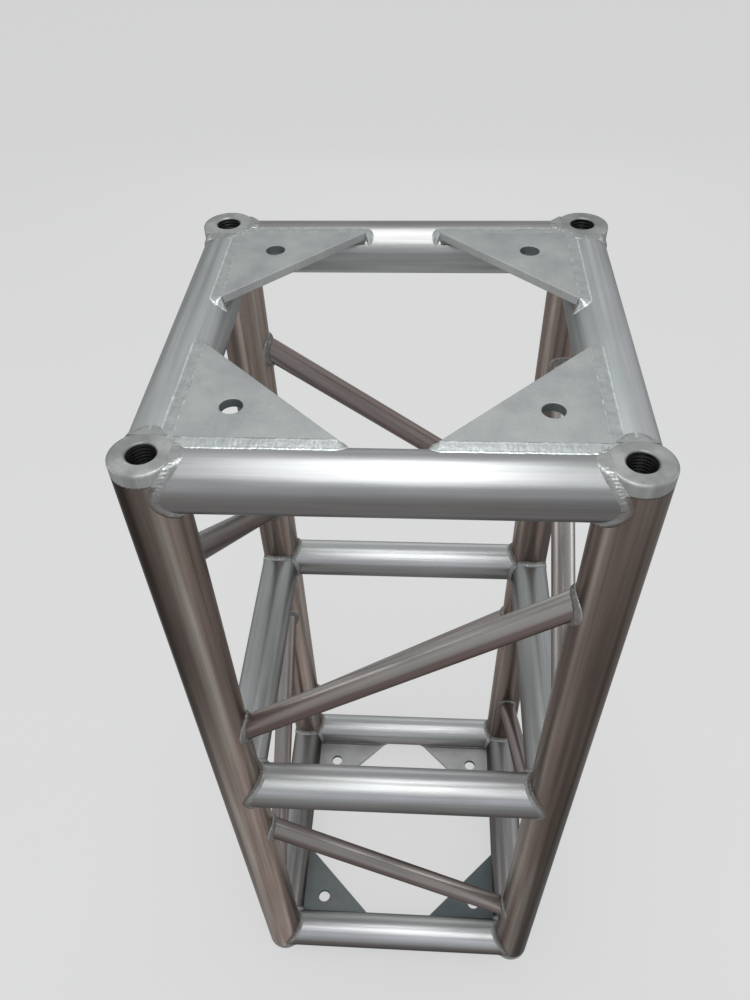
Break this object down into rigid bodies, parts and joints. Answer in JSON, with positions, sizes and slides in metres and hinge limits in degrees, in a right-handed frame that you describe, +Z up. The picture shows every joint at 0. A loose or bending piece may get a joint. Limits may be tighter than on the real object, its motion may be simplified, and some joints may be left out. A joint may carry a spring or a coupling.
{
  "type": "lighting truss section",
  "caption": "Straight square box truss section of welded aluminium tube, with diagonal braces, corner gusset plates and tapped chord ends for bolting sections together.",
  "frame": {"origin": "middle of the square footprint, on the lower end plane", "axes": "+Z up along the chords, +X to the right and +Y to the back, both along the ring tubes"},
  "size_m": [0.4, 0.4, 1],
  "materials": {
    "chord_tube": "extruded mill finish, drawn lengthwise, faintly scratched",
    "ring_tube": "extruded mill finish, drawn lengthwise, bright",
    "brace_tube": "extruded mill finish, drawn lengthwise",
    "gusset_plate": "brushed flat plate, matte, mottled",
    "end_plug": "turned, satin",
    "weld_bead": "rippled weld metal, satin, with a few bright flakes"
  },
  "bodies": {
    "root": {"chord_front_left": "chord_tube", "chord_front_right": "chord_tube", "chord_back_right": "chord_tube", "chord_back_left": "chord_tube", "ring_bottom_front": "ring_tube", "ring_bottom_right": "ring_tube", "ring_bottom_back": "ring_tube", "ring_bottom_left": "ring_tube", "ring_middle_front": "ring_tube", "ring_middle_right": "ring_tube", "ring_middle_back": "ring_tube", "ring_middle_left": "ring_tube", "ring_top_front": "ring_tube", "ring_top_right": "ring_tube", "ring_top_back": "ring_tube", "ring_top_left": "ring_tube", "brace_front_lower": "brace_tube", "brace_right_lower": "brace_tube", "brace_back_lower": "brace_tube", "brace_left_lower": "brace_tube", "brace_front_upper": "brace_tube", "brace_right_upper": "brace_tube", "brace_back_upper": "brace_tube", "brace_left_upper": "brace_tube", "gusset_bottom_front_left": "gusset_plate", "gusset_bottom_front_right": "gusset_plate", "gusset_bottom_back_right": "gusset_plate", "gusset_bottom_back_left": "gusset_plate", "plug_bottom_front_left": "end_plug", "plug_bottom_front_right": "end_plug", "plug_bottom_back_right": "end_plug", "plug_bottom_back_left": "end_plug", "gusset_top_front_left": "gusset_plate", "gusset_top_front_right": "gusset_plate", "gusset_top_back_right": "gusset_plate", "gusset_top_back_left": "gusset_plate", "plug_top_front_left": "end_plug", "plug_top_front_right": "end_plug", "plug_top_back_right": "end_plug", "plug_top_back_left": "end_plug"}
  },
  "joints": []
}
